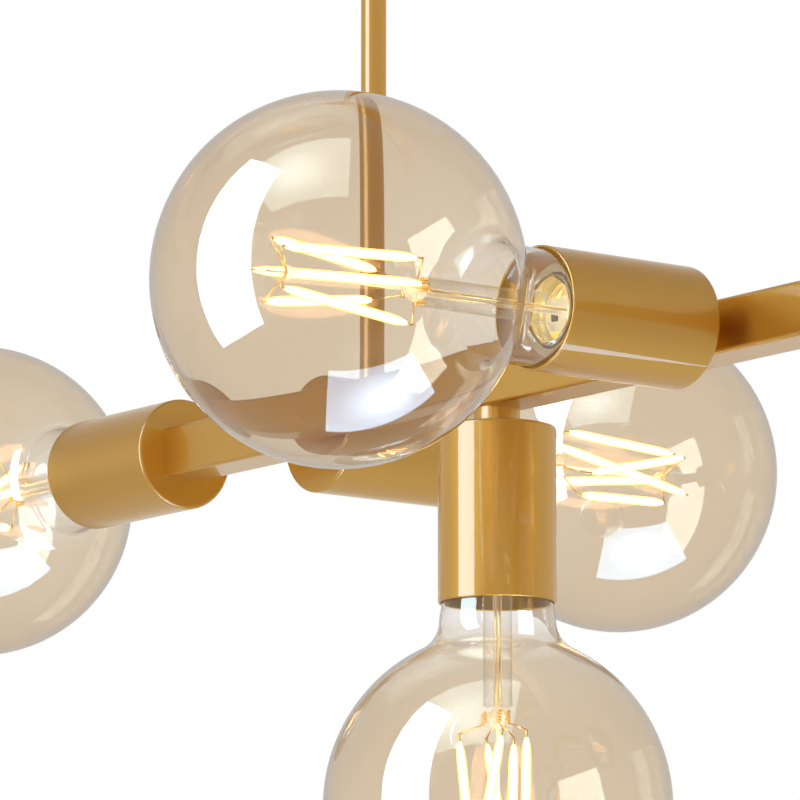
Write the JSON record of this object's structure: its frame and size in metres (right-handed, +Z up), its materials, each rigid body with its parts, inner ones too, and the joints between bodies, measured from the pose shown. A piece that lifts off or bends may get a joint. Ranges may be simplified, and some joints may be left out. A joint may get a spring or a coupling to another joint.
{
  "type": "linear globe ceiling light",
  "caption": "Long ceiling light: a square bar hung on rods from a canopy, with cups that point outward, back, down and forward and carry large round filament lamps.",
  "frame": {"origin": "middle of the bracket's upper face, where it meets the ceiling", "axes": "+X along the bar and the canopy, +Z up into the ceiling, the first front lamp points to -Y"},
  "size_m": [1.1836, 0.4498, 0.7051],
  "materials": {
    "satin_gold": "satin gold plating, faintly brushed",
    "plain_brass": "bare turned brass",
    "zinc_steel": "zinc plated",
    "white_insulator": "glazed white",
    "black_lead": "smooth black insulation",
    "amber_glass": "clear amber tint on the globe, gloss",
    "bulb_metal": "bright brass, rolled thread",
    "bulb_contact": "black glass insulator with a solder contact",
    "bulb_mount": "clear glass stem, gold wires, pale light sticks"
  },
  "bodies": {
    "ceiling": {"swivel_seats": "satin_gold", "canopy": "satin_gold", "ceiling_bracket": "zinc_steel", "canopy_studs": "zinc_steel", "cap_nuts": "satin_gold", "canopy_leads": "black_lead", "terminal_block": "white_insulator"},
    "fixture": {"bar": "satin_gold", "bar_plugs": "zinc_steel", "spacers": "satin_gold", "nipples": "plain_brass", "nipple_nuts": "zinc_steel", "rod_nuts": "zinc_steel", "lampholders": "white_insulator", "socket_contacts": "plain_brass", "lower_rods": "satin_gold", "upper_rods": "satin_gold", "rod_studs": "zinc_steel", "swivel_balls": "satin_gold", "bar_leads": "black_lead", "cup_1": "satin_gold", "cup_2": "satin_gold", "cup_3": "satin_gold", "cup_4": "satin_gold", "cup_5": "satin_gold", "cup_6": "satin_gold", "cup_7": "satin_gold", "cup_8": "satin_gold"},
    "lamp_1_travel": {"bulb_contact_1": "bulb_contact"},
    "lamp_1": {"bulb_glass_1": "amber_glass", "bulb_cap_1": "bulb_metal", "bulb_filament_1": "bulb_mount"},
    "lamp_2_travel": {"bulb_contact_2": "bulb_contact"},
    "lamp_2": {"bulb_glass_2": "amber_glass", "bulb_cap_2": "bulb_metal", "bulb_filament_2": "bulb_mount"},
    "lamp_3_travel": {"bulb_contact_3": "bulb_contact"},
    "lamp_3": {"bulb_glass_3": "amber_glass", "bulb_cap_3": "bulb_metal", "bulb_filament_3": "bulb_mount"},
    "lamp_4_travel": {"bulb_contact_4": "bulb_contact"},
    "lamp_4": {"bulb_glass_4": "amber_glass", "bulb_cap_4": "bulb_metal", "bulb_filament_4": "bulb_mount"},
    "lamp_5_travel": {"bulb_contact_5": "bulb_contact"},
    "lamp_5": {"bulb_glass_5": "amber_glass", "bulb_cap_5": "bulb_metal", "bulb_filament_5": "bulb_mount"},
    "lamp_6_travel": {"bulb_contact_6": "bulb_contact"},
    "lamp_6": {"bulb_glass_6": "amber_glass", "bulb_cap_6": "bulb_metal", "bulb_filament_6": "bulb_mount"},
    "lamp_7_travel": {"bulb_contact_7": "bulb_contact"},
    "lamp_7": {"bulb_glass_7": "amber_glass", "bulb_cap_7": "bulb_metal", "bulb_filament_7": "bulb_mount"},
    "lamp_8_travel": {"bulb_contact_8": "bulb_contact"},
    "lamp_8": {"bulb_glass_8": "amber_glass", "bulb_cap_8": "bulb_metal", "bulb_filament_8": "bulb_mount"}
  },
  "joints": [
    {"name": "swing", "type": "hinge", "parent": "ceiling", "child": "fixture", "pos_m": [0, 0, -0.021], "axis": [1, 0, 0], "range_deg": [-20, 20]},
    {"name": "lamp_1_advance", "type": "slide", "parent": "fixture", "child": "lamp_1_travel", "axis": [-1, 0, 0], "range_m": [0, 0.0218]},
    {"name": "lamp_1_unscrew", "type": "hinge", "parent": "lamp_1_travel", "child": "lamp_1", "pos_m": [-0.383, 0, -0.4895], "axis": [-1, 0, 0], "range_deg": [0, 2160]},
    {"name": "lamp_2_advance", "type": "slide", "parent": "fixture", "child": "lamp_2_travel", "axis": [0, 1, 0], "range_m": [0, 0.0218]},
    {"name": "lamp_2_unscrew", "type": "hinge", "parent": "lamp_2_travel", "child": "lamp_2", "pos_m": [-0.319, 0.0161, -0.4895], "axis": [0, 1, 0], "range_deg": [0, 2160]},
    {"name": "lamp_3_advance", "type": "slide", "parent": "fixture", "child": "lamp_3_travel", "axis": [0, 0, -1], "range_m": [0, 0.0218]},
    {"name": "lamp_3_unscrew", "type": "hinge", "parent": "lamp_3_travel", "child": "lamp_3", "pos_m": [-0.1875, 0, -0.5056], "axis": [0, 0, -1], "range_deg": [0, 2160]},
    {"name": "lamp_4_advance", "type": "slide", "parent": "fixture", "child": "lamp_4_travel", "axis": [0, -1, 0], "range_m": [0, 0.0218]},
    {"name": "lamp_4_unscrew", "type": "hinge", "parent": "lamp_4_travel", "child": "lamp_4", "pos_m": [-0.0635, -0.0161, -0.4895], "axis": [0, -1, 0], "range_deg": [0, 2160]},
    {"name": "lamp_5_advance", "type": "slide", "parent": "fixture", "child": "lamp_5_travel", "axis": [0, 1, 0], "range_m": [0, 0.0218]},
    {"name": "lamp_5_unscrew", "type": "hinge", "parent": "lamp_5_travel", "child": "lamp_5", "pos_m": [0.0635, 0.0161, -0.4895], "axis": [0, 1, 0], "range_deg": [0, 2160]},
    {"name": "lamp_6_advance", "type": "slide", "parent": "fixture", "child": "lamp_6_travel", "axis": [0, 0, -1], "range_m": [0, 0.0218]},
    {"name": "lamp_6_unscrew", "type": "hinge", "parent": "lamp_6_travel", "child": "lamp_6", "pos_m": [0.1875, 0, -0.5056], "axis": [0, 0, -1], "range_deg": [0, 2160]},
    {"name": "lamp_7_advance", "type": "slide", "parent": "fixture", "child": "lamp_7_travel", "axis": [0, -1, 0], "range_m": [0, 0.0218]},
    {"name": "lamp_7_unscrew", "type": "hinge", "parent": "lamp_7_travel", "child": "lamp_7", "pos_m": [0.319, -0.0161, -0.4895], "axis": [0, -1, 0], "range_deg": [0, 2160]},
    {"name": "lamp_8_advance", "type": "slide", "parent": "fixture", "child": "lamp_8_travel", "axis": [1, 0, 0], "range_m": [0, 0.0218]},
    {"name": "lamp_8_unscrew", "type": "hinge", "parent": "lamp_8_travel", "child": "lamp_8", "pos_m": [0.383, 0, -0.4895], "axis": [1, 0, 0], "range_deg": [0, 2160]}
  ],
  "couplings": [
    {"joint": "lamp_1_advance", "follows": "lamp_1_unscrew", "m_per_rad": 0.00057757},
    {"joint": "lamp_2_advance", "follows": "lamp_2_unscrew", "m_per_rad": 0.00057757},
    {"joint": "lamp_3_advance", "follows": "lamp_3_unscrew", "m_per_rad": 0.00057757},
    {"joint": "lamp_4_advance", "follows": "lamp_4_unscrew", "m_per_rad": 0.00057757},
    {"joint": "lamp_5_advance", "follows": "lamp_5_unscrew", "m_per_rad": 0.00057757},
    {"joint": "lamp_6_advance", "follows": "lamp_6_unscrew", "m_per_rad": 0.00057757},
    {"joint": "lamp_7_advance", "follows": "lamp_7_unscrew", "m_per_rad": 0.00057757},
    {"joint": "lamp_8_advance", "follows": "lamp_8_unscrew", "m_per_rad": 0.00057757}
  ]
}
